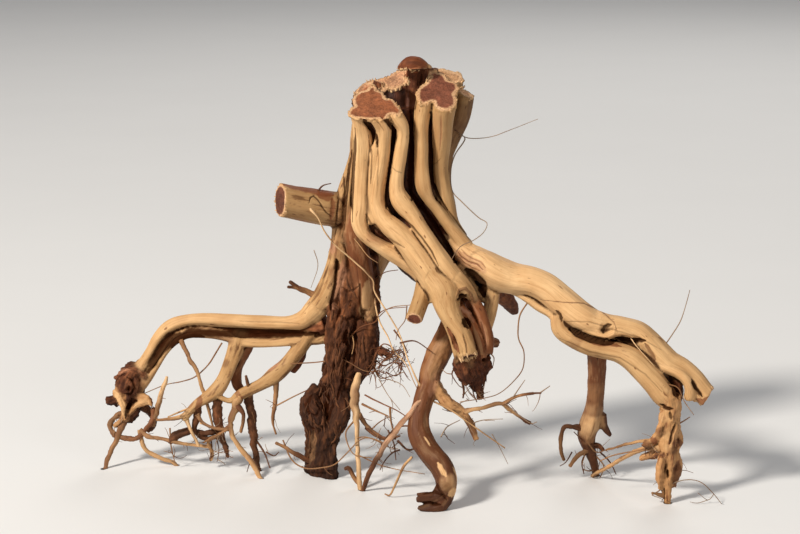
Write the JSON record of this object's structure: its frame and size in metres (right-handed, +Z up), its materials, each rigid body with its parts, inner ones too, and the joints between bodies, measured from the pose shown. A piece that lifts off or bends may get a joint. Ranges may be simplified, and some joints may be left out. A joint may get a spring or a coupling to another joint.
{
  "type": "dry root",
  "caption": "Dried, peeled tree root: a sawn, fluted stump leaning on arched root arms, with a cut side stub, a bark-covered post and thin curling rootlets down to its feet.",
  "frame": {"origin": "middle of the root's outline on the floor that its feet stand on", "axes": "+Z up out of the floor, +X along the long arms towards the long right arm, +Y away from the side that the picture shows"},
  "size_m": [0.6126, 0.1835, 0.4307],
  "materials": {
    "root_wood": "dry matt wood, peeled to pale tan, with red-brown bark left in the grooves and on the post"
  },
  "bodies": {
    "root": {"root": "root_wood"}
  },
  "joints": []
}
